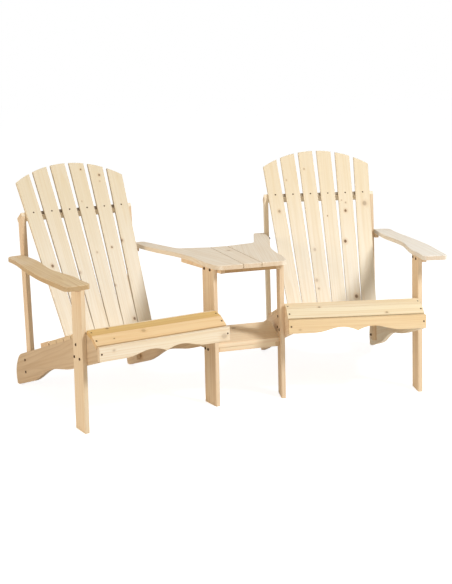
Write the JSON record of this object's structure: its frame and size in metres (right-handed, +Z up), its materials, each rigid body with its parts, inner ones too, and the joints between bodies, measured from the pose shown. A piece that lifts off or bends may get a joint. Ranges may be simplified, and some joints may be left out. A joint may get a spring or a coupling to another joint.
{
  "type": "double adirondack chair",
  "caption": "Slatted wooden adirondack chairs turned towards each other and joined by a shared table and a lower shelf, for sitting side by side outdoors.",
  "frame": {"origin": "on the floor under the middle of the whole set's bounding box", "axes": "+X towards the right-hand chair as seen by someone facing the set, +Y to the rear, behind the backs, +Z up"},
  "size_m": [1.7824, 1.0055, 0.9491],
  "materials": {
    "back_wood": "bare planed fir, pale straw with brown knots",
    "seat_wood": "bare planed fir, warm honey with brown knots",
    "arm_wood": "bare planed fir, pale cream with brown knots",
    "frame_wood": "bare planed fir, tan with brown knots",
    "screw_steel": "dark bronzed steel, matt",
    "bolt_steel": "dark bronzed steel, matt"
  },
  "bodies": {
    "root": {"arm_blocks": "frame_wood", "arm_cleats": "frame_wood", "bolts": "bolt_steel", "left_apron": "frame_wood", "left_back_slat_1": "back_wood", "left_back_slat_2": "back_wood", "left_back_slat_3": "back_wood", "left_back_slat_4": "back_wood", "left_back_slat_5": "back_wood", "left_back_slat_6": "back_wood", "left_front_slat": "seat_wood", "left_inner_arm": "arm_wood", "left_inner_front_leg": "frame_wood", "left_inner_rear_post": "frame_wood", "left_inner_side_rail": "frame_wood", "left_lower_back_rail": "frame_wood", "left_nose_slat": "seat_wood", "left_outer_arm": "arm_wood", "left_outer_front_leg": "frame_wood", "left_outer_rear_post": "frame_wood", "left_outer_side_rail": "frame_wood", "left_seat_slat_1": "seat_wood", "left_seat_slat_2": "seat_wood", "left_seat_slat_3": "seat_wood", "left_seat_slat_4": "seat_wood", "left_seat_slat_5": "seat_wood", "left_upper_back_rail": "frame_wood", "nuts": "bolt_steel", "right_apron": "frame_wood", "right_back_slat_1": "back_wood", "right_back_slat_2": "back_wood", "right_back_slat_3": "back_wood", "right_back_slat_4": "back_wood", "right_back_slat_5": "back_wood", "right_back_slat_6": "back_wood", "right_front_slat": "seat_wood", "right_inner_arm": "arm_wood", "right_inner_front_leg": "frame_wood", "right_inner_rear_post": "frame_wood", "right_inner_side_rail": "frame_wood", "right_lower_back_rail": "frame_wood", "right_nose_slat": "seat_wood", "right_outer_arm": "arm_wood", "right_outer_front_leg": "frame_wood", "right_outer_rear_post": "frame_wood", "right_outer_side_rail": "frame_wood", "right_seat_slat_1": "seat_wood", "right_seat_slat_2": "seat_wood", "right_seat_slat_3": "seat_wood", "right_seat_slat_4": "seat_wood", "right_seat_slat_5": "seat_wood", "right_upper_back_rail": "frame_wood", "shelf_board": "frame_wood", "shelf_cleats": "frame_wood", "shelf_front_rail": "frame_wood", "table_battens": "frame_wood", "table_front_rail": "frame_wood", "table_middle_board": "arm_wood", "table_rear_rail": "frame_wood", "wood_screws": "screw_steel"}
  },
  "joints": []
}
